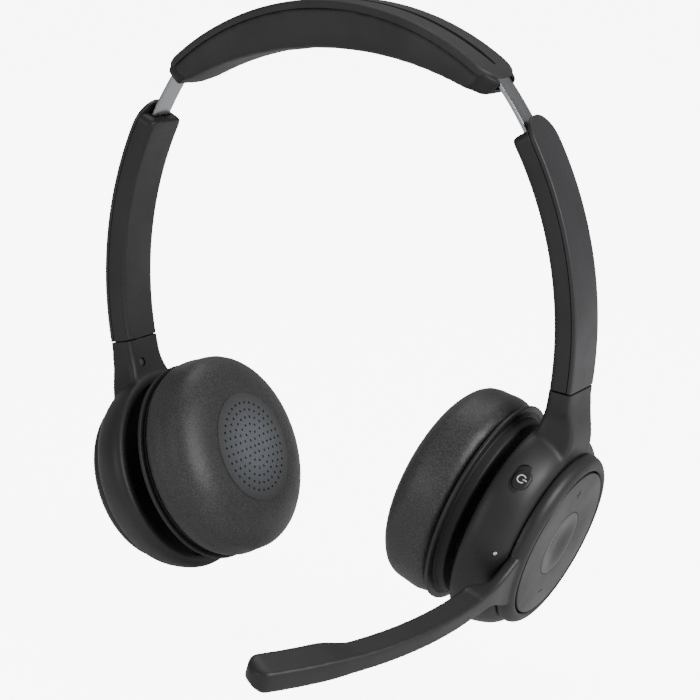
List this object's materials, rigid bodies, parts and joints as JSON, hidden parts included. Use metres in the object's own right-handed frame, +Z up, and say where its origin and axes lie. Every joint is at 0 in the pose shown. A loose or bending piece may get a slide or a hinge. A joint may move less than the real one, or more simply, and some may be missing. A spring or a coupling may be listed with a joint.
{
  "type": "wireless office headset",
  "caption": "On-ear wireless headset: padded headband, steel size strips, swivelling arms, tilting leatherette ear pads and a rotating microphone boom with a control dial.",
  "frame": {"origin": "middle of the head: half way between the faces of the two ear cushions, on the cups' centre line", "axes": "+X towards the ear with the microphone boom (the wearer's left), -Y the way the wearer faces, +Z up through the headband"},
  "size_m": [0.1601, 0.1517, 0.176],
  "materials": {
    "shell": "fine-textured moulded plastic, charcoal",
    "cover": "smooth satin moulded plastic, charcoal",
    "inner": "plain moulded plastic, black",
    "dial": "satin plastic with a fine spun grain",
    "button": "smooth satin plastic",
    "steel": "bright spring steel, brushed lengthwise",
    "brass": "plain turned brass",
    "leather": "soft fine-grained leatherette, black",
    "panel": "perforated leatherette over grey-blue cloth",
    "nylon": "natural nylon",
    "board": "green solder-masked board",
    "foil": "plain foil and stamped metal",
    "light": "clear diffusing lens"
  },
  "bodies": {
    "headband": {"headband_shell": "shell", "slot_liner": "inner", "headband_tray": "shell", "head_pad": "leather", "band_spring": "steel", "end_cap_right": "inner", "end_cap_left": "inner", "strip_guide_right": "nylon", "strip_guide_left": "nylon", "steel_strip_right": "steel", "steel_strip_left": "steel", "rivet_upper_right": "brass", "rivet_upper_left": "brass", "rivet_lower_right": "brass", "rivet_lower_left": "brass"},
    "right_arm": {"arm_shell_right": "shell", "arm_cover_right": "cover", "swivel_pin_right": "steel"},
    "left_arm": {"arm_shell_left": "shell", "arm_cover_left": "cover", "swivel_pin_left": "steel"},
    "right_cup": {"housing_right": "shell", "neck_screw_right": "steel", "cup_cover_right": "inner", "cover_screw_1_right": "steel", "cover_screw_2_right": "steel", "control_deck": "inner", "call_dome": "foil", "volume_up_dome": "foil", "volume_down_dome": "foil", "main_board": "board", "status_lamp": "light", "usb_port": "steel"},
    "left_cup": {"housing_left": "shell", "neck_screw_left": "steel", "cup_cover_left": "inner", "cover_screw_1_left": "steel", "cover_screw_2_left": "steel", "plain_cap": "dial", "battery": "foil"},
    "right_gimbal": {"gimbal_ring_right": "steel"},
    "right_pad": {"pad_plate_right": "inner", "driver_magnet_right": "steel", "driver_basket_right": "inner", "ear_cushion_right": "leather", "ear_panel_right": "panel"},
    "left_gimbal": {"gimbal_ring_left": "steel"},
    "left_pad": {"pad_plate_left": "inner", "driver_magnet_left": "steel", "driver_basket_left": "inner", "ear_cushion_left": "leather", "ear_panel_left": "panel"},
    "dial": {"volume_dial": "dial"},
    "button": {"call_button": "button"},
    "switch": {"power_switch": "button"},
    "boom": {"boom_arm": "shell", "boom_cover": "cover", "boom_wire": "inner", "mic_front": "foil", "mic_rear": "foil"}
  },
  "joints": [
    {"name": "size_right", "type": "hinge", "parent": "headband", "child": "right_arm", "pos_m": [-0.03416, 0, 0.047], "axis": [0, 1, 0], "range_deg": [-5.53, 9.91]},
    {"name": "size_left", "type": "hinge", "parent": "headband", "child": "left_arm", "pos_m": [0.03416, 0, 0.047], "axis": [0, -1, 0], "range_deg": [-5.53, 9.91]},
    {"name": "swivel_right", "type": "hinge", "parent": "right_arm", "child": "right_cup", "pos_m": [0.07372, 0, 0.03011], "axis": [0.1547, 0, 0.988], "range_deg": [-10, 90]},
    {"name": "swivel_left", "type": "hinge", "parent": "left_arm", "child": "left_cup", "pos_m": [-0.07372, 0, 0.03011], "axis": [0.1547, 0, -0.988], "range_deg": [-10, 90]},
    {"name": "tilt_right", "type": "hinge", "parent": "right_cup", "child": "right_gimbal", "pos_m": [0.05492, 0, -0.00907], "axis": [-0.3584, 0, -0.9336], "range_deg": [-6, 6]},
    {"name": "nod_right", "type": "hinge", "parent": "right_gimbal", "child": "right_pad", "pos_m": [0.05492, 0, -0.00907], "axis": [0, 1, 0], "range_deg": [-6, 6]},
    {"name": "tilt_left", "type": "hinge", "parent": "left_cup", "child": "left_gimbal", "pos_m": [-0.05492, 0, -0.00907], "axis": [0.3584, 0, -0.9336], "range_deg": [-6, 6]},
    {"name": "nod_left", "type": "hinge", "parent": "left_gimbal", "child": "left_pad", "pos_m": [-0.05492, 0, -0.00907], "axis": [0, 1, 0], "range_deg": [-6, 6]},
    {"name": "boom_turn", "type": "hinge", "parent": "right_cup", "child": "boom", "pos_m": [0.07163, 0, -0.01548], "axis": [0.9336, 0, -0.3584], "range_deg": [-70, 240]},
    {"name": "volume_rock", "type": "hinge", "parent": "right_cup", "child": "dial", "pos_m": [0.06799, 0, -0.01408], "axis": [0, 1, 0], "range_deg": [-1.2, 1.2], "stiffness_Nm_per_rad": 0.5},
    {"name": "call_press", "type": "slide", "parent": "dial", "child": "button", "axis": [-0.9336, 0, 0.3584], "range_m": [0, 0.0005], "stiffness_N_per_m": 800},
    {"name": "power_slide", "type": "slide", "parent": "right_cup", "child": "switch", "axis": [-0.2534, -0.7071, -0.6601], "range_m": [-0.0012, 0.0012]}
  ]
}
